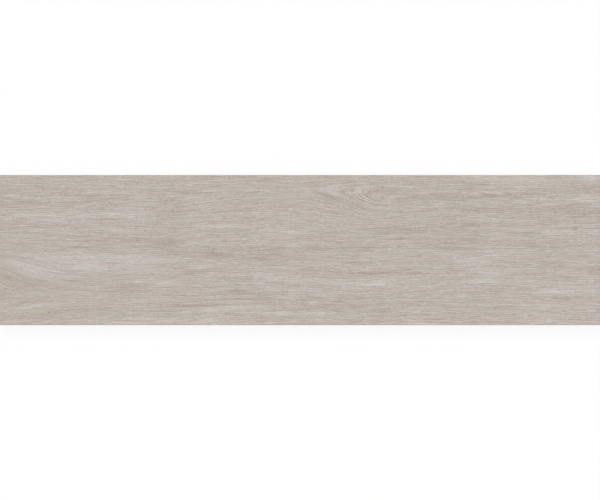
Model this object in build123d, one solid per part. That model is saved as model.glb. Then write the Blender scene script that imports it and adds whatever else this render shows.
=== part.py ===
"""Outdoor floor tile: one wood-effect porcelain plank, 20 mm thick.

The plank is pressed, fired and ground to size as one piece. Its walking face is flat with a
fine bevel ground round the edge, and its back is keyed with a grid of shallow pressed recesses,
so that it grips a mortar bed and stands on the ribs between the recesses when it is laid loose.

Frame: X runs along the plank, Y across it and Z up out of the walking face.
The origin is the middle of the bed face.
"""

import os
from math import floor, radians, tan

from build123d import *

# Overall size, in millimetres
LENGTH = 1200.0
WIDTH = 300.0
THICKNESS = 20.0

# Ground edges
FACE_BEVEL = 0.8
BACK_BEVEL = 1.5

# Keyed back
RECESS_SIDE = 26.0
RECESS_DEPTH = 0.8
RECESS_DRAFT = 35.0  # degrees that a recess's walls lean from upright, so that the press lets go
RIB = 4.0
LEAST_RIM = 12.0

PITCH = RECESS_SIDE + RIB


def recess_count(size):
    """How many recesses fit along a side of this size, inside the least rim at both ends."""
    return floor((size - 2 * LEAST_RIM + RIB) / PITCH)


def ground_plank():
    """The plank's outer form, with a bevel ground round each of its two faces."""
    plank = Box(LENGTH, WIDTH, THICKNESS, align=(Align.CENTER, Align.CENTER, Align.MIN))
    face_edges = plank.faces().sort_by(Axis.Z)[-1].edges()
    plank = chamfer(face_edges, FACE_BEVEL)
    back_edges = plank.faces().sort_by(Axis.Z)[0].edges()
    return chamfer(back_edges, BACK_BEVEL)


def back_recess():
    """One pressed recess: a square mouth on the bed face and a smaller square floor."""
    drawn_in = RECESS_DEPTH * tan(radians(RECESS_DRAFT))
    floor_end = RECESS_SIDE - drawn_in
    return Wedge(
        RECESS_SIDE,
        RECESS_DEPTH,
        RECESS_SIDE,
        drawn_in,
        drawn_in,
        floor_end,
        floor_end,
        rotation=(90, 0, 0),
        align=(Align.CENTER, Align.MIN, Align.CENTER),
    )


def tile():
    """The whole tile as one solid, with its recesses set out from the middle of the back."""
    grid = GridLocations(PITCH, PITCH, recess_count(LENGTH), recess_count(WIDTH))
    made = ground_plank() - grid * back_recess()
    made.label = "tile"
    return made


os.makedirs("parts", exist_ok=True)
export_step(tile(), "parts/tile.step")
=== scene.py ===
"""Outdoor floor tile: the finished look of one wood-effect porcelain plank.

The plank lies flat with its walking face up. Its grain is set out once, as a field of ring lines
over the face. The pressed relief, the broad printed drifts and the fine printed fibres all follow
that field, so the print lies in the relief as it does on a tile that was printed after pressing.
"""

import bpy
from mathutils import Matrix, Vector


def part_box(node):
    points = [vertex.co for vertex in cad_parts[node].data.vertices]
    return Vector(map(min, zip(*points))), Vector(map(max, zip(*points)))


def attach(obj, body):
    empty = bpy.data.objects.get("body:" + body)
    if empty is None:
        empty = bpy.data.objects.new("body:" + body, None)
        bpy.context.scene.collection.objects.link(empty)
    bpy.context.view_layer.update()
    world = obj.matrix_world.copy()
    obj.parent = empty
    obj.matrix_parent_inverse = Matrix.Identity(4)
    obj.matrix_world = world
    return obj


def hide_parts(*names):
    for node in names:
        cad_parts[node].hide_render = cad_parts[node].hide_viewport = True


bl_info = {
    "name": "Wood-effect paving tile",
    "version": (1, 0, 0),
    "blender": (4, 5, 0),
    "location": "3D View > Sidebar > Tile",
    "description": "Makes one outdoor porcelain plank with a printed, pressed wood grain",
    "category": "Add Mesh",
}

from math import floor, pi, radians, tan
from typing import NamedTuple

import bmesh
import bpy
import numpy as np
from bpy.props import FloatProperty, FloatVectorProperty, IntProperty, PointerProperty
from mathutils import Euler, Matrix, noise

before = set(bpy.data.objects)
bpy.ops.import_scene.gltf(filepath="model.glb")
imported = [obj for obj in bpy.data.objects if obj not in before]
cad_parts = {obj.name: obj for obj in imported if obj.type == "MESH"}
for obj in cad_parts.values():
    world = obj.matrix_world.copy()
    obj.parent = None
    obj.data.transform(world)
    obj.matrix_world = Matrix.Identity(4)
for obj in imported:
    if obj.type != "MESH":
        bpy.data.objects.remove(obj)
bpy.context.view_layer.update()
NODE_LOW, NODE_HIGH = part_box("tile")

MM = 0.001

# Heights closer than this count as the same, and a count may fall short of a whole number by this
SAME_HEIGHT = 0.01 * MM
ROUNDING = 1e-6

# A grid's size is half its side, so this makes one that is a unit wide
UNIT_GRID = 0.5

# Order of the plank's materials, which its faces refer to
PRINTED, GROUND, KEYED = range(3)


class Streak(NamedTuple):
    """A layer of streaks: length along the grain and height across it in millimetres, seed and detail."""

    length: float
    height: float
    seed: float
    detail: float = 0.0


class Lines(NamedTuple):
    """A set of fine lines: pitch in millimetres, tone, and how much they come and go or stay."""

    pitch: float
    tone: float
    breaks: float
    steady: float


class Finish(NamedTuple):
    """A surface from close by: roughness, how far that varies, and bump and fleck size in millimetres."""

    roughness: float
    varies: float
    bump: float
    fleck: float


# Heart of the figure, which the ring lines close round towards one end of the plank, in millimetres
# from the middle of the face
HEART_X, HEART_Y = 180, 108

# How far apart the tips of the rings are along the plank, how far the widest ring stands off the
# heart's line, how far from that line the rings are still bent, and the distance along the plank over
# which they even out again
RINGS_ALONG = 100
RINGS_ACROSS = 26
RINGS_REACH = 2 * RINGS_ACROSS
RINGS_FADE = 380

# How far the heart's line rises towards the tips of the rings, the distance along the plank that it
# takes, and how far above and below the line that tells
RISE = 17
RISE_ALONG = 85
RISE_REACH = 36

# How gently the rings start to open and the heart's line starts to rise
ONSET = 1.5

# How much wider the rings are below the heart's line than above it: share, x, reach along, reach across
LEAN, LEAN_X, LEAN_ALONG, LEAN_REACH = 0.38, 110, 120, 38

# Roundness of the rings' tips: radius, x, reach along
TIP_RADIUS, TIP_X, TIP_ALONG = 5, 110, 60

# Distance over which one side of the heart's line gives way to the other
FOLD = 5

# How much closer the fibres are drawn where the rings stand well apart
CLOSER = 1.8

# Sways that carry the ring lines up or down the face: x, y, reach along, reach across, lift
SWAYS = (
    (-640, -135, 140, 42, -28),
    (-612, -36, 75, 36, 32),
    (-130, -128, 75, 18, 7),
    (-230, -5, 170, 40, -5),
    (330, -40, 200, 40, 4),
)

# Where the fibres are printed fainter: x, y, reach along, reach across, change of strength
CALM = (
    (-600, -60, 330, 52, -0.25),
    (-600, -66, 110, 45, -0.4),
    (67, 115, 20, 11, -0.65),
    (5, 102, 45, 22, -0.35),
    (121, 119, 12, 9, -0.4),
    (160, 109, 24, 10, -0.85),
)

# Where the figure's own fine lines are printed, in the same way
FIGURE = (
    (124, 101, 28, 10, 1.6),
    (50, 90, 34, 11, 0.8),
)

# Pale and dark drifts of the print, along the ring lines: x, y, half length, half height, strength
DRIFTS = (
    # broad reaches
    (-580, 54, 40, 14, -0.12),
    (-500, 102, 90, 8, 0.07),
    (-400, 66, 110, 9, 0.18),
    (-390, -36, 120, 12, 0.14),
    (-370, 13, 110, 10, -0.09),
    (-140, 143, 70, 9, -0.17),
    (-130, -131, 80, 13, 0.09),
    (-120, -98, 60, 7, -0.13),
    (-110, -8, 100, 8, -0.18),
    (40, -112, 45, 9, -0.18),
    (40, -48, 90, 10, -0.14),
    (80, 92, 60, 16, -0.09),
    (180, 115, 50, 9, -0.12),
    (245, -105, 55, 8, -0.17),
    (265, 102, 45, 7, -0.1),
    (320, 58, 60, 13, -0.12),
    (330, 12, 110, 9, -0.12),
    (335, -26, 45, 14, 0.12),
    (460, -68, 60, 8, 0.18),
    (480, 65, 45, 11, -0.16),
    (500, -140, 75, 11, 0.16),
    (500, 22, 55, 9, 0.1),
    # pale drifts, from the left end to the right
    (-560, -29, 40, 9, 0.2),
    (-530, -44, 45, 9, 0.25),
    (-520, 66, 95, 7, 0.19),
    (-500, -108, 75, 5, 0.21),
    (-460, -17, 110, 8, 0.25),
    (-430, -34, 60, 5, 0.32),
    (-350, -146, 50, 6, 0.38),
    (-310, 125, 55, 6, 0.12),
    (-350, -10, 40, 5, 0.25),
    (-300, -20, 90, 9, 0.21),
    (-280, -138, 50, 4, 0.21),
    (-265, -67, 30, 5, 0.38),
    (-198, -33, 28, 4, 0.25),
    (-185, -145, 32, 6, 0.36),
    (-165, -118, 45, 4, 0.38),
    (-155, 49, 45, 4, 0.14),
    (-120, -114, 35, 4, 0.25),
    (-75, -50, 35, 5, 0.28),
    (-45, 109, 40, 5, 0.16),
    (-40, -127, 35, 4, 0.3),
    (-35, -58, 35, 6, 0.37),
    (-20, 39, 40, 4, 0.32),
    (20, -80, 45, 4, 0.25),
    (25, -126, 22, 5, 0.25),
    (30, 63, 40, 5, 0.14),
    (75, -62, 55, 5, 0.25),
    (145, -65, 40, 6, 0.2),
    (150, -34, 55, 3.5, 0.23),
    (175, -17, 45, 6, 0.17),
    (240, -148, 35, 4, 0.4),
    (240, -61, 40, 5, 0.3),
    (290, -8, 30, 4, 0.3),
    (342, -19, 28, 5, 0.34),
    (365, -63, 35, 4, 0.3),
    (375, -43, 32, 5, 0.3),
    (380, -6, 40, 5, 0.21),
    (325, 62, 25, 6, 0.12),
    (380, 143, 60, 5, 0.33),
    (400, 59, 60, 3, 0.25),
    (418, 40, 30, 7, 0.18),
    (460, 140, 45, 5, 0.32),
    (500, -83, 45, 5, 0.3),
    (500, 102, 35, 5, 0.2),
    (530, -112, 75, 8, 0.11),
    (540, 37, 60, 4, 0.3),
    (550, -3, 30, 5, 0.15),
    (570, -82, 50, 6, 0.27),
    (570, 100, 45, 7, 0.31),
    (580, 145, 30, 8, 0.38),
    # dark drifts, from the left end to the right
    (-585, 112, 35, 12, -0.18),
    (-595, -82, 22, 4, -0.18),
    (-548, -104, 38, 4, -0.22),
    (-546, -68, 70, 10, -0.22),
    (-530, 92, 75, 5, -0.25),
    (-480, -121, 95, 9, -0.17),
    (-410, 4, 45, 4, -0.25),
    (-390, 105, 50, 8, -0.13),
    (-350, -76, 36, 7, -0.38),
    (-350, 21, 60, 4.5, -0.25),
    (-270, -6, 60, 4, -0.25),
    (-270, 12, 40, 8, -0.27),
    (-258, 123, 35, 5, -0.2),
    (-240, 75, 28, 9, -0.2),
    (-225, 114, 30, 4, -0.2),
    (-215, -111, 60, 3, -0.32),
    (-215, -43, 35, 5, -0.29),
    (-175, -11, 35, 5, -0.38),
    (-130, -85, 28, 5, -0.38),
    (-105, 61, 45, 3.5, -0.12),
    (-100, 95, 45, 4.5, -0.22),
    (-85, -89, 35, 5, -0.25),
    (-60, -20, 40, 4.5, -0.4),
    (-55, 2, 40, 5, -0.25),
    (30, 0, 45, 4.5, -0.22),
    (50, 141, 45, 6, -0.15),
    (60, 19, 55, 4, -0.14),
    (110, -103, 25, 12, -0.16),
    (140, 4, 28, 5, -0.25),
    (150, -47, 60, 4, -0.38),
    (180, 38, 45, 8, -0.22),
    (185, 22, 30, 3.5, -0.32),
    (225, 40, 40, 8, -0.18),
    (300, 4, 50, 4.5, -0.27),
    (333, 21, 22, 5, -0.32),
    (340, 38, 45, 6, -0.22),
    (345, 106, 40, 3.5, -0.27),
    (350, 51, 28, 4, -0.42),
    (350, 83, 35, 4, -0.3),
    (420, 80, 40, 6, -0.3),
    (460, 15, 32, 6, -0.2),
    (505, -31, 30, 5, -0.22),
    (515, -95, 45, 3.5, -0.2),
    (530, 82, 40, 8, -0.25),
    (572, 121, 30, 7, -0.22),
    (580, 72, 35, 12, -0.17),
    (590, -42, 18, 8, -0.27),
)

# Fine lines of the print, as the drifts
VEINS = (
    # dark
    (-384, 61, 26, 1.4, -0.65),
    (-483, 48, 31, 1.4, -0.4),
    (-451, -62, 19, 1.6, -0.55),
    (-106, -58, 42, 1.4, -0.4),
    (-40, -66, 20, 1.4, -0.45),
    (-75, -21, 10, 1.4, -0.5),
    (123, -25, 57, 1.4, -0.5),
    (231, -47, 19, 1.4, -0.6),
    (202, 22, 7, 1.6, -0.5),
    (449, 34, 25, 1.4, -0.6),
    (528, 43, 28, 1.4, -0.6),
    (450, -77, 50, 1.4, -0.25),
    (-198, -111, 38, 2.2, -0.45),
    (-133, -129, 19, 1.4, -0.4),
    (52, 108, 24, 2.6, -0.31),
    (100, 94, 40, 2.6, -0.24),
    (30, 121, 10, 4.0, -0.4),
    (81, 117, 6, 2.2, -0.42),
    (106, 116, 4, 1.5, -0.3),
    (134, 114, 8, 2.5, -0.25),
    (205, 122, 60, 1.4, -0.28),
    (166, 104, 5, 2.5, -0.3),
    (194, 102, 6, 2.5, -0.25),
    (222, 109, 24, 1.6, -0.18),
    # pale
    (-145, 46, 35, 1.4, 0.4),
    (-12, 12, 12, 1.4, 0.4),
    (162, -11, 18, 1.6, 0.4),
    (160, -69, 31, 1.8, 0.4),
    (286, -67, 6, 1.4, 0.7),
    (279, -82, 5, 2.0, 0.4),
    (320, -119, 20, 1.2, 0.4),
    (-324, -63, 9, 2.0, 0.6),
    (555, 50, 35, 1.4, 0.35),
    (60, 121, 9, 3.0, 0.26),
    (66, 127, 10, 2.5, 0.42),
    (70, 115, 12, 3.5, 0.5),
    (94, 100, 12, 2.4, 0.18),
    (18, 117, 10, 2.0, 0.2),
    (116, 119, 8, 3.5, 0.5),
    (140, 126, 20, 1.8, 0.42),
    (170, 130, 30, 2.0, 0.2),
    (126, 132, 16, 1.3, 0.35),
    (504, -84, 30, 2.4, 0.4),
)

# Printed fibres, laid over each other: length along the grain, height across it, strength
FIBRES = (
    (3, 2.2, 0.26),
    (6, 2.3, 0.2),
    (12, 2.3, 0.18),
    (24, 2.4, 0.2),
    (48, 2.5, 0.22),
    (100, 2.6, 0.23),
    (18, 5.0, 0.08),
    (45, 5.0, 0.14),
    (110, 5.5, 0.16),
    (160, 11.0, 0.06),
)

# Finer fibres, seen from close by, in the same way
HAIRS = (
    (5, 0.45, 0.14),
    (14, 0.6, 0.16),
    (40, 1.0, 0.14),
)

# Where the seeds of the two sets of fibres start, and the step from one layer of a set to the next
FIBRE_SEED = 0.0
HAIR_SEED = 120.0
SEED_STEP = 7.0

# Relief: how the whole grain wavers and how far, in millimetres, then the swells and furrows that are
# pressed into it, and the shares of the depth that the middle, the swells and the furrows take
WAVER = Streak(130.0, 28.0, 1.5)
WAVER_REACH = 2.2
SWELLS = Streak(160.0, 13.0, 11.5)
FURROWS = Streak(46.0, 4.0, 23.5)
MIDDLE_DEPTH, SWELL_DEPTH, FURROW_DEPTH = 0.5, 0.35, 0.5

# Frays and tufts at the edges of the drifts and veins: how far they reach, in millimetres, and how much
# the tufts thin the drifts out
FRAYS = Streak(60.0, 4.5, 51.5)
TUFTS = Streak(38.0, 3.0, 67.5)
DRIFT_FRAY, DRIFT_TUFT, VEIN_FRAY = 2.0, 1.0, 0.4
TUFT_THINNING = 0.6

# Pores and liming: thin lines where these streaks cross zero, the breadth of the lines and their tones
PORES = Streak(50.0, 4.4, 81.0)
LIMING = Streak(45.0, 4.2, 89.0)
THIN = 0.1
PORE_TONE, LIMING_TONE = -0.18, 0.18

# Fine lines all over the grain and in the figure, how they wander, in turns of their pitch, and how
# they come and go
GRAIN_LINES = Lines(pitch=3.9, tone=0.315, breaks=1.6, steady=0.5)
FIGURE_LINES = Lines(pitch=3.6, tone=0.3, breaks=0.5, steady=0.9)
LINE_SWAYS = Streak(70.0, 14.0, 97.0)
LINE_WANDER = 1.1
LINE_DASHES = Streak(18.0, 4.0, 103.0)

# Pits among the finest fibres: the levels of the streaks at which they start and are full, and their tone
PITS = Streak(8.0, 0.8, 61.0)
PIT_START, PIT_FULL = 0.22, 0.5
PIT_TONE = -0.35

# Tone of the plain print between its deepest shade at zero and its palest at one, and the tones that a
# full drift and a full hollow of the relief add to it
PLAIN_TONE, DRIFT_TONE, HOLLOW_TONE = 0.57, 0.89, -0.1

# Warmer and greener streaks and reaches of the print, and how far each moves the tint from its middle
WARM_STREAKS = Streak(60.0, 7.0, 29.0, 4.0)
WARM_REACHES = Streak(300.0, 45.0, 33.0, 2.0)
GREEN_REACHES = Streak(260.0, 40.0, 37.0, 2.0)
MIDDLE_TINT = 0.5
WARM_STREAK_TINT, WARM_REACH_TINT, GREEN_REACH_TINT = 0.5, 0.2, 0.25

# Finishes of the three surfaces, and the share of fine grit in the bump of the printed face
PRINTED_FINISH = Finish(roughness=0.62, varies=0.05, bump=0.12, fleck=0.7)
GROUND_FINISH = Finish(roughness=0.6, varies=0.15, bump=0.02, fleck=1.1)
KEYED_FINISH = Finish(roughness=0.74, varies=0.12, bump=0.15, fleck=1.4)
PRINTED_GRIT = 0.25

# Flecks of the fired body: how far from a speck's middle its colour starts to give way and is gone, the
# level above which a speck is a dark one, and the share of the flecks' colour on the sides and the back
FLECK_START, FLECK_GONE = 0.12, 0.42
FLECK_CHOICE = 0.6
GROUND_FLECKS, KEYED_FLECKS = 0.45, 0.5

# How fast the finer detail of a noise fades, and the detail of the body's grit
NOISE_FADE = 0.6
GRIT_DETAIL = 2.0

# Marks that the grinding leaves along the sides
GRINDING = Streak(40.0, 0.5, 5.0, 2.0)

# Kiln wash on the back: how it is brushed, its share on plain ribs and how far that varies, the most of
# it that any place keeps, and the height above the bed at which it is gone, in millimetres
WASH_BRUSHED = Streak(220.0, 9.0, 9.0, 4.0)
WASH_SHARE, WASH_VARIES = 0.62, 1.1
WASH_MOST = 0.75
WASH_HEIGHT = 0.5

# Map that the materials are baked to: where the walking face and the back start in it, from its foot,
# the strips of the sides below them, and the gap above each
FACE_FOOT, BACK_FOOT = 0.34, 0.07
SIDE_STRIP = BACK_FOOT / 4
MAP_GAP = 0.004

# Paleness of the matt floor, and the share of plain white that is seen over its shading
FLOOR_PALENESS = 0.98
FLOOR_WHITE = 0.87
WHITE = (1.0, 1.0, 1.0, 1.0)


def painted(code):
    """The scene's linear colour for an sRGB hex code."""
    shares = [int(code[at : at + 2], 16) / 255 for at in (0, 2, 4)]
    return [share / 12.92 if share <= 0.04045 else ((share + 0.055) / 1.055) ** 2.4 for share in shares]


def side_property(name, description, axis):
    """A side of the plank, as long as the solid is along this axis."""
    side = NODE_HIGH[axis] - NODE_LOW[axis]
    return FloatProperty(name=name, description=description, default=side, min=0.0, unit="LENGTH")


def size_property(name, description, millimetres):
    """A length that the user can set, given here in millimetres."""
    return FloatProperty(
        name=name, description=description, default=millimetres * MM, min=0.0, precision=4, unit="LENGTH"
    )


def angle_property(name, description, degrees):
    """An angle that the user can set, given here in degrees."""
    return FloatProperty(name=name, description=description, default=radians(degrees), subtype="ANGLE")


def colour_property(name, description, code):
    """A colour that the user can set."""
    return FloatVectorProperty(
        name=name, description=description, default=painted(code), min=0.0, max=1.0, size=3, subtype="COLOR"
    )


class TilePlankSizes(bpy.types.PropertyGroup):
    """Sizes of the plank, its edges, its back and its relief."""

    length: side_property("Length", "Along the grain", 0)
    width: side_property("Width", "Across the grain", 1)
    thickness: side_property("Thickness", "From the bed to the walking face", 2)
    face_bevel: size_property("Face bevel", "Bevel ground round the walking face", 0.8)
    back_bevel: size_property("Back bevel", "Bevel ground round the back", 1.5)
    recess_side: size_property("Recess", "Side of a recess at its mouth", 26.0)
    recess_depth: size_property("Recess depth", "Depth of the recesses in the back", 0.8)
    recess_draft: angle_property("Recess draft", "Lean of a recess's walls", 35.0)
    rib: size_property("Rib", "Width of the ribs between the recesses", 4.0)
    least_rim: size_property("Least rim", "Least plain border round the recesses", 12.0)
    relief: size_property("Relief", "Depth of the pressed grain", 0.3)
    cells_along: IntProperty(
        name="Cells along", description="Cells of the face along the grain", default=270, min=1
    )
    cells_across: IntProperty(
        name="Cells across", description="Cells of the face across the grain", default=320, min=1
    )


class TileColours(bpy.types.PropertyGroup):
    """Colours of the print and of the fired body."""

    deep: colour_property("Deep", "Darkest of the printed grain", "a89d94")
    brown: colour_property("Brown", "Dark drifts of the grain", "b4a99e")
    middle: colour_property("Middle", "Middle tone of the grain", "bcb3ab")
    grey: colour_property("Grey", "Pale drifts of the grain", "c4bcb5")
    limed: colour_property("Limed", "Palest of the grain", "cdc8c2")
    cool: colour_property("Cool", "Tint of the cooler streaks", "f7fbff")
    warm: colour_property("Warm", "Tint of the warmer streaks", "fffbf7")
    rose: colour_property("Rose", "Tint of the rosier reaches of the face", "fffdff")
    olive: colour_property("Olive", "Tint of the greener reaches of the face", "fdfefc")
    body: colour_property("Body", "The fired body, on the ground edges", "b7aea4")
    fleck: colour_property("Fleck", "Dark mineral flecks in the body", "938a80")
    wash: colour_property("Wash", "Kiln wash left on the back's ribs", "d6d2cb")


class TileStage(bpy.types.PropertyGroup):
    """Camera, light and floor."""

    lens: FloatProperty(name="Lens", description="Focal length in millimetres", default=85.0, min=1.0)
    overfill: size_property("Overfill", "Length of the plank that the picture's sides cut off", 2.5)
    sky: FloatProperty(name="Sky", description="Strength of the even light", default=0.72, min=0.0)
    key: FloatProperty(name="Key", description="Strength of the slanting light", default=1.4, min=0.0)
    key_tilt: angle_property("Key tilt", "Lean of the slanting light from upright", 50.0)
    key_turn: angle_property("Key turn", "Turn of the slanting light about the upright", 12.0)
    key_breadth: angle_property("Key breadth", "How broad the slanting light looks from the plank", 24.0)
    floor_side: size_property("Floor", "Side of the floor", 8000.0)
    floor_gap: size_property("Floor gap", "Gap between the bed and the floor", 0.2)


# Grain


def bell(*offsets):
    """One where all the offsets are zero, and falling away smoothly as any of them grows."""
    return np.exp(-sum(offset**2 for offset in offsets))


def opening(ahead, along):
    """Zero at the heart, and gently rising to one over a distance along the plank."""
    return 1.0 - np.exp(-((ahead / along) ** ONSET))


def swayed(x, y):
    """Ring coordinate of points on the face before the lines close round any heart."""
    ring = y
    for mid_x, mid_y, along, across, lift in SWAYS:
        ring = ring - lift * bell((x - mid_x) / along, (y - mid_y) / across)
    return ring


def ring_lines(x, y):
    """Ring coordinate of points on the face, and which side of the heart's line they are on, from -1 to 1.

    The grain runs along the level lines of the ring coordinate. It is measured from the heart's own
    line, so that the lines close round the heart, and the side keeps its two halves from being mirror
    images.
    """
    ahead = np.maximum(0.0, HEART_X - x)
    fade = bell(ahead / RINGS_FADE)
    off_line = swayed(x, y) - swayed(HEART_X, HEART_Y)
    rise = RISE * opening(ahead, RISE_ALONG) * fade
    off_line = off_line - rise * bell(off_line / RISE_REACH)
    blunt = TIP_RADIUS * bell((x - TIP_X) / TIP_ALONG)
    lean = LEAN * bell((x - LEAN_X) / LEAN_ALONG, off_line / LEAN_REACH)
    distance = np.hypot(off_line, blunt) - blunt + lean * np.minimum(0.0, off_line)
    closing = RINGS_ACROSS * opening(ahead, RINGS_ALONG) * fade
    return distance + closing * np.exp(-distance / RINGS_REACH), np.tanh(off_line / FOLD)


def ring_spread(x, y):
    """How far the ring lines stand apart, from zero on plain grain to one where they are well apart."""
    step = 0.5
    rise_along = ring_lines(x + step, y)[0] - ring_lines(x - step, y)[0]
    rise_across = ring_lines(x, y + step)[0] - ring_lines(x, y - step)[0]
    closeness = np.hypot(rise_along, rise_across) / (2.0 * step)
    return np.clip((1.0 - closeness) / (1.0 - 1.0 / CLOSER), 0.0, 1.0)


def stretched_noise(grain, layer):
    """A layer of streaks as noise, one value from -1 to 1 for each point."""
    places = grain / (layer.length, layer.height, 1.0) + (0.0, 0.0, layer.seed)
    return np.array([noise.noise(place) for place in places.tolist()])


def stroke_tone(x, ring, side, strokes):
    """Tone of printed strokes that follow the ring lines, dark below zero and pale above.

    A stroke stays on its own side of the heart's line.
    """
    tone = np.zeros_like(x)
    for mid_x, mid_y, half_length, half_height, strength in strokes:
        mid_ring, mid_side = ring_lines(mid_x, mid_y)
        along = (x - mid_x) / half_length
        across = (ring - mid_ring) / half_height
        tone += strength * bell(along, across, side - mid_side)
    return tone


def local_change(x, y, changes):
    """How far a layer's strength is changed at points on the face, zero where nothing changes it."""
    total = np.zeros_like(x)
    for mid_x, mid_y, along, across, change in changes:
        total += change * bell((x - mid_x) / along, (y - mid_y) / across)
    return total


def store_field(mesh, name, values):
    """Store one value or vector for each vertex under a name that the materials read."""
    kind, field = ("FLOAT", "value") if values.ndim == 1 else ("FLOAT_VECTOR", "vector")
    mesh.attributes.new(name, kind, "POINT").data.foreach_set(field, values.astype(np.float32).ravel())


def press_grain(mesh, sizes):
    """Press the grain's relief into the walking face, and store the fields that the print follows."""
    places = np.empty(len(mesh.vertices) * 3)
    mesh.vertices.foreach_get("co", places)
    places = places.reshape(-1, 3)
    x, y = places[:, 0] / MM, places[:, 1] / MM
    ring, side = ring_lines(x, y)
    grain = np.column_stack((x, ring, side))
    grain[:, 1] += WAVER_REACH * stretched_noise(grain, WAVER)

    hollow = MIDDLE_DEPTH + SWELL_DEPTH * stretched_noise(grain, SWELLS)
    hollow = np.clip(hollow + FURROW_DEPTH * stretched_noise(grain, FURROWS), 0.0, 1.0)
    on_face = places[:, 2] > sizes.thickness - SAME_HEIGHT
    places[on_face, 2] -= sizes.relief * hollow[on_face]
    mesh.vertices.foreach_set("co", places.ravel())

    fray, tuft = stretched_noise(grain, FRAYS), stretched_noise(grain, TUFTS)
    drift = stroke_tone(x, ring + DRIFT_FRAY * fray + DRIFT_TUFT * tuft, side, DRIFTS)
    drift *= 1.0 + TUFT_THINNING * tuft
    drift += stroke_tone(x, ring + VEIN_FRAY * fray, side, VEINS)
    store_field(mesh, "grain", grain * (MM, MM, 1.0))
    store_field(mesh, "drift", drift)
    store_field(mesh, "hollow", hollow)
    store_field(mesh, "calm", 1.0 + local_change(x, y, CALM))
    store_field(mesh, "figure", local_change(x, y, FIGURE))
    store_field(mesh, "spread", ring_spread(x, y))


# Plank


def loose_rim(bm):
    """Edges of a bmesh that have a face on one side only."""
    return [edge for edge in bm.edges if edge.is_boundary]


def carry_rim(bm, rim, stretch, drop, material):
    """Extrude a rim, stretch its new loop along and across, let it down, and give the new rim back."""
    made = bmesh.ops.extrude_edge_only(bm, edges=rim)["geom"]
    loop = [item for item in made if isinstance(item, bmesh.types.BMVert)]
    for item in made:
        if isinstance(item, bmesh.types.BMFace):
            item.material_index = material
    bmesh.ops.scale(bm, vec=(*stretch, 1.0), verts=loop)
    bmesh.ops.translate(bm, vec=(0.0, 0.0, -drop), verts=loop)
    return loose_rim(bm)


def bevelled_size(sizes, bevel):
    """Length and width of a face of the plank inside the bevel that is ground round it."""
    return sizes.length - 2 * bevel, sizes.width - 2 * bevel


def add_ground_sides(bm, sizes):
    """Grow the bevels and the upright sides from the rim of the walking face, down to the bed."""
    face_length, face_width = bevelled_size(sizes, sizes.face_bevel)
    bed_length, bed_width = bevelled_size(sizes, sizes.back_bevel)
    outward = (sizes.length / face_length, sizes.width / face_width)
    upright = sizes.thickness - sizes.face_bevel - sizes.back_bevel
    inward = (bed_length / sizes.length, bed_width / sizes.width)
    rim = carry_rim(bm, loose_rim(bm), outward, sizes.face_bevel, GROUND)
    rim = carry_rim(bm, rim, (1.0, 1.0), upright, GROUND)
    return carry_rim(bm, rim, inward, sizes.back_bevel, GROUND)


def recess_count(side, sizes):
    """How many recesses fit along a side, inside the least rim at both ends."""
    return floor((side - 2 * sizes.least_rim + sizes.rib) / (sizes.recess_side + sizes.rib) + ROUNDING)


def add_keyed_back(bm, rim, sizes):
    """Lay the ribbed grid of recesses on the bed and join it to the rim of the sides."""
    pitch = sizes.recess_side + sizes.rib
    along, across = recess_count(sizes.length, sizes), recess_count(sizes.width, sizes)
    spread = Matrix.Diagonal((along * pitch, across * pitch, 1.0, 1.0))
    grid = bmesh.ops.create_grid(bm, x_segments=along, y_segments=across, size=UNIT_GRID, matrix=spread)
    cells = list({cell for vert in grid["verts"] for cell in vert.link_faces})
    cells.sort(key=lambda cell: tuple(cell.calc_center_median()))
    outer = set(rim)
    border = [edge for edge in loose_rim(bm) if edge not in outer]
    bmesh.ops.reverse_faces(bm, faces=cells)
    bmesh.ops.triangle_fill(bm, edges=rim + border, use_beauty=True, normal=(0.0, 0.0, -1.0))
    drawn_in = sizes.recess_depth * tan(sizes.recess_draft)
    bmesh.ops.inset_individual(bm, faces=cells, thickness=sizes.rib / 2)
    bmesh.ops.inset_individual(bm, faces=cells, thickness=drawn_in, depth=-sizes.recess_depth)
    for face in bm.faces:
        on_back = face.calc_center_median().z < sizes.recess_depth + SAME_HEIGHT
        if on_back and face.material_index == PRINTED:
            face.material_index = KEYED


def lay_out_bake(bm, sizes):
    """Lay the walking face over most of one map, with the back and the sides in strips below it."""
    layer = bm.loops.layers.uv.new("OFBake")
    for face in bm.faces:
        normal = face.normal
        lengthways = abs(normal.y) > abs(normal.x)
        row = (0 if normal.y < 0 else 1) if lengthways else (2 if normal.x < 0 else 3)
        for loop in face.loops:
            x, y, z = loop.vert.co
            u, v = x / sizes.length + 0.5, y / sizes.width + 0.5
            if face.material_index == PRINTED:
                loop[layer].uv = (u, FACE_FOOT + v * (1.0 - FACE_FOOT))
            elif face.material_index == KEYED:
                loop[layer].uv = (u, BACK_FOOT + v * (FACE_FOOT - MAP_GAP - BACK_FOOT))
            else:
                height = z / sizes.thickness * (SIDE_STRIP - MAP_GAP)
                loop[layer].uv = (u if lengthways else v, SIDE_STRIP * row + height)


def plank_mesh(sizes):
    """The whole plank as one closed mesh: walking face, bevels, sides and keyed back."""
    bm = bmesh.new()
    spread = Matrix.Diagonal((*bevelled_size(sizes, sizes.face_bevel), 1.0, 1.0))
    place = Matrix.Translation((0.0, 0.0, sizes.thickness)) @ spread
    bmesh.ops.create_grid(
        bm, x_segments=sizes.cells_along, y_segments=sizes.cells_across, size=UNIT_GRID, matrix=place
    )
    for face in bm.faces:
        face.smooth = True
    rim = add_ground_sides(bm, sizes)
    add_keyed_back(bm, rim, sizes)
    bmesh.ops.recalc_face_normals(bm, faces=bm.faces)
    lay_out_bake(bm, sizes)
    mesh = bpy.data.meshes.new("porcelain_plank")
    bm.to_mesh(mesh)
    bm.free()
    press_grain(mesh, sizes)
    return mesh


# Materials


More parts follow.
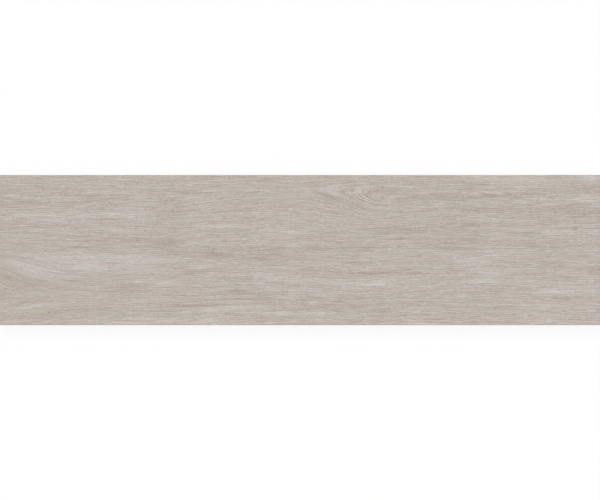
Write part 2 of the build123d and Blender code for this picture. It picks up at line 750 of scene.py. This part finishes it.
def fill(tree, socket, value):
    """Feed a socket from another node's output, or set its own value."""
    if isinstance(value, bpy.types.NodeSocket):
        tree.links.new(value, socket)
    else:
        socket.default_value = value


def add_node(tree, kind, inputs=None, **settings):
    """Add a node with its settings, and fill its inputs by name or place."""
    made = tree.nodes.new(kind)
    for name, value in settings.items():
        setattr(made, name, value)
    for name, value in (inputs or {}).items():
        fill(tree, made.inputs[name], value)
    return made


def work_out(tree, operation, *values):
    """One step of arithmetic on values or outputs."""
    made = add_node(tree, "ShaderNodeMath", dict(enumerate(values)), operation=operation)
    return made.outputs[0]


def blend_colours(tree, share, first, second, blend="MIX"):
    """Mix two colours by a share of the second."""
    made = add_node(tree, "ShaderNodeMix", data_type="RGBA", blend_type=blend)
    inputs = {socket.identifier: socket for socket in made.inputs}
    fill(tree, inputs["Factor_Float"], share)
    fill(tree, inputs["A_Color"], first)
    fill(tree, inputs["B_Color"], second)
    return next(socket for socket in made.outputs if socket.identifier == "Result_Color")


def opaque(colour):
    """A colour as a socket's four values."""
    return (*colour, 1.0)


def new_group(name, inputs, outputs):
    """An empty shader node group, as the group, the sockets of what it is given and those of its result."""
    group = bpy.data.node_groups.new(name, "ShaderNodeTree")
    for label, kind in inputs.items():
        group.interface.new_socket(label, in_out="INPUT", socket_type=kind)
    for label, kind in outputs.items():
        group.interface.new_socket(label, in_out="OUTPUT", socket_type=kind)
    return group, group.nodes.new("NodeGroupInput").outputs, group.nodes.new("NodeGroupOutput").inputs


def streak_group():
    """Noise drawn out along the first axis, centred on zero."""
    group, given, result = new_group(
        "Streaks",
        {
            "Place": "NodeSocketVector",
            "Length": "NodeSocketFloat",
            "Height": "NodeSocketFloat",
            "Seed": "NodeSocketFloat",
            "Detail": "NodeSocketFloat",
        },
        {"Value": "NodeSocketFloat"},
    )
    parts = add_node(group, "ShaderNodeSeparateXYZ", {0: given["Place"]}).outputs
    squeezed = add_node(
        group,
        "ShaderNodeCombineXYZ",
        {
            0: work_out(group, "DIVIDE", parts[0], given["Length"]),
            1: work_out(group, "DIVIDE", parts[1], given["Height"]),
            2: work_out(group, "ADD", parts[2], given["Seed"]),
        },
    )
    cloud = add_node(
        group,
        "ShaderNodeTexNoise",
        {"Vector": squeezed.outputs[0], "Scale": 1.0, "Detail": given["Detail"], "Roughness": NOISE_FADE},
    )
    fill(group, result["Value"], work_out(group, "MULTIPLY_ADD", cloud.outputs["Fac"], 2.0, -1.0))
    return group


def fleck_group():
    """Fine mineral flecks of a fired body: a mask of the dark ones, and an even grit."""
    group, given, result = new_group(
        "Body flecks",
        {"Place": "NodeSocketVector", "Size": "NodeSocketFloat"},
        {"Flecks": "NodeSocketFloat", "Grit": "NodeSocketFloat"},
    )
    fineness = work_out(group, "DIVIDE", 1.0, given["Size"])
    specks = add_node(group, "ShaderNodeTexVoronoi", {"Vector": given["Place"], "Scale": fineness})
    specked = add_node(
        group,
        "ShaderNodeMapRange",
        {
            "Value": specks.outputs["Distance"],
            "From Min": FLECK_START,
            "From Max": FLECK_GONE,
            "To Min": 1.0,
            "To Max": 0.0,
        },
    )
    chance = add_node(group, "ShaderNodeSeparateColor", {0: specks.outputs["Color"]}).outputs[0]
    chosen = work_out(group, "GREATER_THAN", chance, FLECK_CHOICE)
    grit = add_node(
        group,
        "ShaderNodeTexNoise",
        {"Vector": given["Place"], "Scale": fineness, "Detail": GRIT_DETAIL, "Roughness": NOISE_FADE},
    )
    fill(group, result["Flecks"], work_out(group, "MULTIPLY", specked.outputs[0], chosen))
    fill(group, result["Grit"], grit.outputs["Fac"])
    return group


def use_group(tree, group, inputs):
    """Place a node group in a tree with its inputs, and give its outputs."""
    return add_node(tree, "ShaderNodeGroup", inputs, node_tree=group).outputs


def streaks(tree, group, place, layer):
    """A layer of streaks in a material, centred on zero."""
    inputs = {
        "Place": place,
        "Length": layer.length * MM,
        "Height": layer.height * MM,
        "Seed": layer.seed,
        "Detail": layer.detail,
    }
    return use_group(tree, group, inputs)["Value"]


def laid_streaks(tree, group, place, layers, first_seed):
    """Layers of streaks laid over each other, each with its own length, height and strength."""
    total = 0.0
    for number, (length, height, strength) in enumerate(layers):
        layer = Streak(length, height, first_seed + SEED_STEP * number)
        total = work_out(tree, "MULTIPLY_ADD", streaks(tree, group, place, layer), strength, total)
    return total


def thin_lines(tree, layer):
    """Thin lines where a layer of streaks crosses zero, one on the line and zero off it."""
    return add_node(
        tree,
        "ShaderNodeMapRange",
        {"Value": work_out(tree, "ABSOLUTE", layer), "From Max": THIN, "To Min": 1.0, "To Max": 0.0},
    ).outputs[0]


def fine_lines(tree, streak, grain, lines):
    """Fine wavering lines along the grain that come and go, centred on zero."""
    ring = add_node(tree, "ShaderNodeSeparateXYZ", {0: grain}).outputs[1]
    turns = work_out(tree, "DIVIDE", ring, lines.pitch * MM)
    turns = work_out(tree, "MULTIPLY_ADD", streaks(tree, streak, grain, LINE_SWAYS), LINE_WANDER, turns)
    wave = work_out(tree, "SINE", work_out(tree, "MULTIPLY", turns, 2 * pi))
    dashes = streaks(tree, streak, grain, LINE_DASHES)
    strength = work_out(tree, "MULTIPLY_ADD", dashes, lines.breaks, lines.steady)
    return work_out(tree, "MULTIPLY", wave, strength)


def print_fibres(tree, streak, grain):
    """All the fibres of the plain print that are seen at arm's length, centred on zero."""
    fibres = laid_streaks(tree, streak, grain, FIBRES, FIBRE_SEED)
    for layer, tone in ((PORES, PORE_TONE), (LIMING, LIMING_TONE)):
        lines = thin_lines(tree, streaks(tree, streak, grain, layer))
        fibres = work_out(tree, "MULTIPLY_ADD", lines, tone, fibres)
    lines = fine_lines(tree, streak, grain, GRAIN_LINES)
    return work_out(tree, "MULTIPLY_ADD", lines, GRAIN_LINES.tone, fibres)


def read_field(tree, name, output="Fac"):
    """A field that the plank's mesh stores for its vertices."""
    return add_node(tree, "ShaderNodeAttribute", attribute_name=name).outputs[output]


def figured_fibres(tree, streak, grain):
    """The face's fibres, drawn closer where the rings stand apart, with the figure's own fine lines."""
    spread = read_field(tree, "spread")
    closer = add_node(tree, "ShaderNodeVectorMath", {0: grain, 1: (1.0, CLOSER, 1.0)}, operation="MULTIPLY")
    plain = work_out(tree, "SQRT", work_out(tree, "SUBTRACT", 1.0, spread))
    fibres = work_out(tree, "MULTIPLY", print_fibres(tree, streak, grain), plain)
    drawn_in = print_fibres(tree, streak, closer.outputs[0])
    fibres = work_out(tree, "MULTIPLY_ADD", drawn_in, work_out(tree, "SQRT", spread), fibres)
    hatch = fine_lines(tree, streak, grain, FIGURE_LINES)
    hatch = work_out(tree, "MULTIPLY", hatch, FIGURE_LINES.tone)
    return work_out(tree, "MULTIPLY_ADD", hatch, read_field(tree, "figure"), fibres)


def pitted_hairs(tree, streak, grain):
    """The finer fibres and the pits among them."""
    hairs = laid_streaks(tree, streak, grain, HAIRS, HAIR_SEED)
    pits = add_node(
        tree,
        "ShaderNodeMapRange",
        {"Value": streaks(tree, streak, grain, PITS), "From Min": PIT_START, "From Max": PIT_FULL},
    )
    return work_out(tree, "MULTIPLY_ADD", pits.outputs[0], PIT_TONE, hairs)


def shaded(tree, tone, shades):
    """The print's colour for a tone, from its deepest shade at zero to its palest at one."""
    ramp = add_node(tree, "ShaderNodeValToRGB", {"Fac": tone})
    stops = ramp.color_ramp.elements
    while len(stops) < len(shades):
        stops.new(0.5)
    for step, (stop, shade) in enumerate(zip(stops, shades)):
        stop.position = step / (len(shades) - 1)
        stop.color = opaque(shade)
    return ramp.outputs["Color"]


def tinted(tree, streak, grain, colour, colours):
    """A printed colour with its cooler and warmer streaks, and its rosier and greener reaches."""
    warm_streaks = streaks(tree, streak, grain, WARM_STREAKS)
    warm_reaches = streaks(tree, streak, grain, WARM_REACHES)
    green_reaches = streaks(tree, streak, grain, GREEN_REACHES)
    warmth = work_out(tree, "MULTIPLY_ADD", warm_streaks, WARM_STREAK_TINT, MIDDLE_TINT)
    warmth = work_out(tree, "MULTIPLY_ADD", warm_reaches, WARM_REACH_TINT, warmth)
    greenness = work_out(tree, "MULTIPLY_ADD", green_reaches, GREEN_REACH_TINT, MIDDLE_TINT)
    for share, first, second in (
        (warmth, colours.cool, colours.warm),
        (greenness, colours.rose, colours.olive),
    ):
        tint = blend_colours(tree, share, opaque(first), opaque(second))
        colour = blend_colours(tree, 1.0, colour, tint, "MULTIPLY")
    return colour


def empty_tree(owner):
    """Turn on the nodes of a material or world, and give its tree with nothing in it."""
    owner.use_nodes = True
    owner.node_tree.nodes.clear()
    return owner.node_tree


def empty_material(name):
    """A material with one Principled shader, as the material, its tree and the shader's sockets."""
    material = bpy.data.materials.new(name)
    tree = empty_tree(material)
    shader = add_node(tree, "ShaderNodeBsdfPrincipled")
    add_node(tree, "ShaderNodeOutputMaterial", {"Surface": shader.outputs[0]})
    return material, tree, shader.inputs


def finish_surface(tree, sockets, finish, wear, height):
    """Give a surface a roughness that varies with its wear, and a fine bump that follows a height."""
    roughness = work_out(tree, "MULTIPLY_ADD", wear, finish.varies, finish.roughness)
    depth = finish.bump * MM
    bump = add_node(tree, "ShaderNodeBump", {"Height": height, "Distance": depth, "Strength": 1.0})
    fill(tree, sockets["Roughness"], roughness)
    fill(tree, sockets["Normal"], bump.outputs[0])


def printed_grain(colours, streak, flecks):
    """The walking face: a printed wood grain that lies in the pressed relief."""
    material, tree, sockets = empty_material("printed_grain")
    place = add_node(tree, "ShaderNodeTexCoord").outputs["Object"]
    grain = read_field(tree, "grain", "Vector")
    fibres = figured_fibres(tree, streak, grain)
    hairs = pitted_hairs(tree, streak, grain)

    tone = work_out(tree, "MULTIPLY_ADD", read_field(tree, "drift"), DRIFT_TONE, PLAIN_TONE)
    tone = work_out(tree, "MULTIPLY_ADD", read_field(tree, "hollow"), HOLLOW_TONE, tone)
    tone = work_out(tree, "MULTIPLY_ADD", fibres, read_field(tree, "calm"), tone)
    tone = work_out(tree, "ADD", tone, hairs)
    shades = (colours.deep, colours.brown, colours.middle, colours.grey, colours.limed)
    colour = tinted(tree, streak, grain, shaded(tree, tone, shades), colours)
    fill(tree, sockets["Base Color"], colour)

    grit = use_group(tree, flecks, {"Place": place, "Size": PRINTED_FINISH.fleck * MM})["Grit"]
    height = work_out(tree, "MULTIPLY_ADD", grit, PRINTED_GRIT, work_out(tree, "ADD", fibres, hairs))
    finish_surface(tree, sockets, PRINTED_FINISH, fibres, height)
    return material


def flecked_body(tree, colours, share, body):
    """The fired body's colour, with a share of its dark flecks."""
    flecks = work_out(tree, "MULTIPLY", body["Flecks"], share)
    return blend_colours(tree, flecks, opaque(colours.body), opaque(colours.fleck))


def ground_body(colours, streak, flecks):
    """The bevels and sides: the fired body, ground to size with fine marks along each side."""
    material, tree, sockets = empty_material("ground_body")
    place = add_node(tree, "ShaderNodeTexCoord").outputs["Object"]
    parts = add_node(tree, "ShaderNodeSeparateXYZ", {0: place}).outputs
    run = work_out(tree, "ADD", parts[0], parts[1])
    along = add_node(tree, "ShaderNodeCombineXYZ", {0: run, 1: parts[2], 2: 0.0}).outputs[0]
    marks = streaks(tree, streak, along, GRINDING)
    body = use_group(tree, flecks, {"Place": place, "Size": GROUND_FINISH.fleck * MM})
    fill(tree, sockets["Base Color"], flecked_body(tree, colours, GROUND_FLECKS, body))
    finish_surface(tree, sockets, GROUND_FINISH, marks, marks)
    return material


def keyed_body(colours, streak, flecks):
    """The back: the fired body, with kiln wash left on the ribs that stood on the kiln's rollers."""
    material, tree, sockets = empty_material("keyed_body")
    place = add_node(tree, "ShaderNodeTexCoord").outputs["Object"]
    above_bed = add_node(tree, "ShaderNodeSeparateXYZ", {0: place}).outputs[2]
    body = use_group(tree, flecks, {"Place": place, "Size": KEYED_FINISH.fleck * MM})
    brushed = streaks(tree, streak, place, WASH_BRUSHED)
    patchy = work_out(tree, "MULTIPLY_ADD", brushed, WASH_VARIES, WASH_SHARE)
    patchy = add_node(tree, "ShaderNodeClamp", {"Value": patchy}).outputs[0]
    on_ribs = add_node(
        tree,
        "ShaderNodeMapRange",
        {"Value": above_bed, "From Max": WASH_HEIGHT * MM, "To Min": WASH_MOST, "To Max": 0.0},
    )
    washed = work_out(tree, "MULTIPLY", on_ribs.outputs[0], patchy)
    colour = flecked_body(tree, colours, KEYED_FLECKS, body)
    fill(tree, sockets["Base Color"], blend_colours(tree, washed, colour, opaque(colours.wash)))
    finish_surface(tree, sockets, KEYED_FINISH, washed, body["Grit"])
    return material


class TILE_OT_plank(bpy.types.Operator):
    """Make the porcelain plank in place of the plain solid"""

    bl_idname = "tile.plank"
    bl_label = "Porcelain plank"

    def execute(self, context):
        sizes, colours = context.scene.tile_sizes, context.scene.tile_colours
        plank = bpy.data.objects.new("porcelain_plank", plank_mesh(sizes))
        context.scene.collection.objects.link(plank)
        streak, flecks = streak_group(), fleck_group()
        for make in (printed_grain, ground_body, keyed_body):
            plank.data.materials.append(make(colours, streak, flecks))
        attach(plank, "root")
        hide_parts("tile")
        return {"FINISHED"}


# Stage


def seen_as_white(tree):
    """One for the rays that should see plain white: the camera's, and those of reflection and glass."""
    rays = add_node(tree, "ShaderNodeLightPath").outputs
    seen = work_out(tree, "MAXIMUM", rays["Is Camera Ray"], rays["Is Glossy Ray"])
    return work_out(tree, "MAXIMUM", seen, rays["Is Transmission Ray"])


def floor_material():
    """White floor: mostly plain white to the camera, with enough of its own shading to keep a shadow."""
    material = bpy.data.materials.new("stage_floor")
    tree = empty_tree(material)
    matt = add_node(tree, "ShaderNodeBsdfDiffuse", {"Color": opaque([FLOOR_PALENESS] * 3)})
    white = add_node(tree, "ShaderNodeEmission", {"Color": WHITE, "Strength": 1.0})
    share = work_out(tree, "MULTIPLY", seen_as_white(tree), FLOOR_WHITE)
    mixed = add_node(tree, "ShaderNodeMixShader", {0: share, 1: matt.outputs[0], 2: white.outputs[0]})
    add_node(tree, "ShaderNodeOutputMaterial", {"Surface": mixed.outputs[0]})
    return material


def lay_floor(scene, stage):
    """Lay the floor just under the plank."""
    bm = bmesh.new()
    place = Matrix.Translation((0.0, 0.0, -stage.floor_gap))
    bmesh.ops.create_grid(bm, x_segments=1, y_segments=1, size=stage.floor_side / 2, matrix=place)
    mesh = bpy.data.meshes.new("stage_floor")
    bm.to_mesh(mesh)
    bm.free()
    mesh.materials.append(floor_material())
    ground = bpy.data.objects.new("stage_floor", mesh)
    scene.collection.objects.link(ground)


def light_world(scene, stage):
    """Even light from all round, which the camera sees as plain white."""
    world = bpy.data.worlds.new("stage_sky")
    tree = empty_tree(world)
    even = add_node(tree, "ShaderNodeBackground", {"Color": WHITE, "Strength": stage.sky})
    white = add_node(tree, "ShaderNodeBackground", {"Color": WHITE, "Strength": 1.0})
    seen = seen_as_white(tree)
    mixed = add_node(tree, "ShaderNodeMixShader", {0: seen, 1: even.outputs[0], 2: white.outputs[0]})
    add_node(tree, "ShaderNodeOutputWorld", {"Surface": mixed.outputs[0]})
    scene.world = world


def hang_key(scene, stage):
    """A soft slanting light that brings out the relief."""
    lamp = bpy.data.lights.new("stage_key", "SUN")
    lamp.energy = stage.key
    lamp.angle = stage.key_breadth
    key = bpy.data.objects.new("stage_key", lamp)
    key.rotation_euler = Euler((-stage.key_tilt, 0.0, stage.key_turn))
    scene.collection.objects.link(key)


def set_camera(scene, stage, sizes):
    """A camera straight above the plank, as high as makes the plank fill the picture's width."""
    camera = bpy.data.cameras.new("stage_camera")
    camera.lens = stage.lens
    eye = bpy.data.objects.new("stage_camera", camera)
    reach = (sizes.length - stage.overfill) * camera.lens / camera.sensor_width
    eye.location = (0.0, 0.0, sizes.thickness + reach)
    scene.collection.objects.link(eye)
    scene.camera = eye


class TILE_OT_stage(bpy.types.Operator):
    """Set up the floor, the light and a camera that looks straight down on the plank"""

    bl_idname = "tile.stage"
    bl_label = "Stage"

    def execute(self, context):
        scene = context.scene
        lay_floor(scene, scene.tile_stage)
        light_world(scene, scene.tile_stage)
        hang_key(scene, scene.tile_stage)
        set_camera(scene, scene.tile_stage, scene.tile_sizes)
        scene.view_settings.view_transform = "Standard"
        return {"FINISHED"}


class TILE_PT_sidebar(bpy.types.Panel):
    """Lists the tile's pieces and what can be set on them"""

    bl_label = "Paving tile"
    bl_idname = "TILE_PT_sidebar"
    bl_space_type = "VIEW_3D"
    bl_region_type = "UI"
    bl_category = "Tile"

    def draw(self, context):
        scene = context.scene
        for operator, groups in (
            (TILE_OT_plank, (scene.tile_sizes, scene.tile_colours)),
            (TILE_OT_stage, (scene.tile_stage,)),
        ):
            box = self.layout.box()
            for group in groups:
                for name in group.__annotations__:
                    box.prop(group, name)
            box.operator(operator.bl_idname)


CLASSES = (TilePlankSizes, TileColours, TileStage, TILE_OT_plank, TILE_OT_stage, TILE_PT_sidebar)


def register():
    """Register the classes and hang the settings on the scene."""
    for kind in CLASSES:
        bpy.utils.register_class(kind)
    bpy.types.Scene.tile_sizes = PointerProperty(type=TilePlankSizes)
    bpy.types.Scene.tile_colours = PointerProperty(type=TileColours)
    bpy.types.Scene.tile_stage = PointerProperty(type=TileStage)


def unregister():
    """Take the settings off the scene and the classes out of the register."""
    del bpy.types.Scene.tile_stage
    del bpy.types.Scene.tile_colours
    del bpy.types.Scene.tile_sizes
    for kind in reversed(CLASSES):
        bpy.utils.unregister_class(kind)


def main():
    """Make the tile and its stage."""
    register()
    bpy.ops.tile.plank()
    bpy.ops.tile.stage()


if __name__ == "__main__":
    main()
